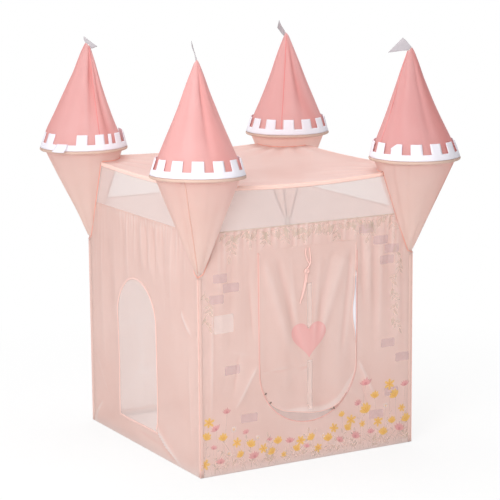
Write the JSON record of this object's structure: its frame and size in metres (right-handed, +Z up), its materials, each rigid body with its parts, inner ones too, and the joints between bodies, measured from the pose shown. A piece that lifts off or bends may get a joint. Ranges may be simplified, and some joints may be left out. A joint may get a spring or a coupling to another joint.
{
  "type": "play tent",
  "caption": "Free-standing square castle play tent for children with a hooped cloth tower on each corner, net panels, a swinging door flap and arched net windows.",
  "frame": {"origin": "centre of the tent's base, on the floor", "axes": "+Z up, -Y out of the door wall, -X out of the wall at the door's left as seen from outside"},
  "size_m": [1.3171, 1.3171, 1.6145],
  "materials": {
    "peach_cloth": "thin matt peach polyester, slightly sheer",
    "sheer_skirt": "sheer peach polyester",
    "pink_cloth": "matt coral pink polyester",
    "white_cloth": "matt white polyester",
    "grey_cloth": "matt grey white polyester",
    "heart_cloth": "sheer pink organza",
    "white_net": "fine white net",
    "ribbon": "pink woven tape",
    "white_plastic": "matt moulded white",
    "cream_plastic": "satin cream tube",
    "fibreglass": "smooth white glass fibre rod"
  },
  "bodies": {
    "tent": {"wall_front": "peach_cloth", "wall_right": "peach_cloth", "wall_back": "peach_cloth", "wall_left": "peach_cloth", "roof_panel": "peach_cloth", "tower_skirt_front_left": "sheer_skirt", "tower_skirt_front_right": "sheer_skirt", "tower_skirt_back_right": "sheer_skirt", "tower_skirt_back_left": "sheer_skirt", "tower_roof_front_left": "pink_cloth", "tower_roof_front_right": "pink_cloth", "tower_roof_back_right": "pink_cloth", "tower_roof_back_left": "pink_cloth", "battlement_front_left": "white_cloth", "battlement_front_right": "white_cloth", "battlement_back_right": "white_cloth", "battlement_back_left": "white_cloth", "mesh_front": "white_net", "mesh_right": "white_net", "mesh_back": "white_net", "mesh_left": "white_net", "window_mesh_left": "white_net", "window_mesh_right": "white_net", "base_corner_front_left": "white_plastic", "base_corner_front_right": "white_plastic", "base_corner_back_right": "white_plastic", "base_corner_back_left": "white_plastic", "tip_cap_front_left": "white_plastic", "tip_cap_front_right": "white_plastic", "tip_cap_back_right": "white_plastic", "tip_cap_back_left": "white_plastic", "hoop_front_left": "cream_plastic", "hoop_front_right": "cream_plastic", "hoop_back_right": "cream_plastic", "hoop_back_left": "cream_plastic", "base_rod_front_a": "fibreglass", "base_rod_front_b": "fibreglass", "base_rod_right_a": "fibreglass", "base_rod_right_b": "fibreglass", "base_rod_back_a": "fibreglass", "base_rod_back_b": "fibreglass", "base_rod_left_a": "fibreglass", "base_rod_left_b": "fibreglass", "upright_lower_front_left": "fibreglass", "upright_lower_front_right": "fibreglass", "upright_lower_back_right": "fibreglass", "upright_lower_back_left": "fibreglass", "upright_upper_front_left": "fibreglass", "upright_upper_front_right": "fibreglass", "upright_upper_back_right": "fibreglass", "upright_upper_back_left": "fibreglass"},
    "door": {"door_flap": "peach_cloth", "door_heart": "heart_cloth", "door_tie": "ribbon"},
    "pennant_front_left": {"flag_front_left": "grey_cloth"},
    "pennant_front_right": {"flag_front_right": "grey_cloth"},
    "pennant_back_right": {"flag_back_right": "grey_cloth"},
    "pennant_back_left": {"flag_back_left": "grey_cloth"}
  },
  "joints": [
    {"name": "door_swing", "type": "hinge", "parent": "tent", "child": "door", "pos_m": [0, -0.47425, 0.8427], "axis": [-1, 0, 0], "range_deg": [-70, 110]},
    {"name": "flag_swivel_front_left", "type": "hinge", "parent": "tent", "child": "pennant_front_left", "pos_m": [-0.463, -0.463, 1.563], "axis": [0, 0, 1], "range_deg": [-90, 90]},
    {"name": "flag_swivel_front_right", "type": "hinge", "parent": "tent", "child": "pennant_front_right", "pos_m": [0.463, -0.463, 1.563], "axis": [0, 0, 1], "range_deg": [-90, 90]},
    {"name": "flag_swivel_back_right", "type": "hinge", "parent": "tent", "child": "pennant_back_right", "pos_m": [0.463, 0.463, 1.563], "axis": [0, 0, 1], "range_deg": [-90, 90]},
    {"name": "flag_swivel_back_left", "type": "hinge", "parent": "tent", "child": "pennant_back_left", "pos_m": [-0.463, 0.463, 1.563], "axis": [0, 0, 1], "range_deg": [-90, 90]}
  ]
}
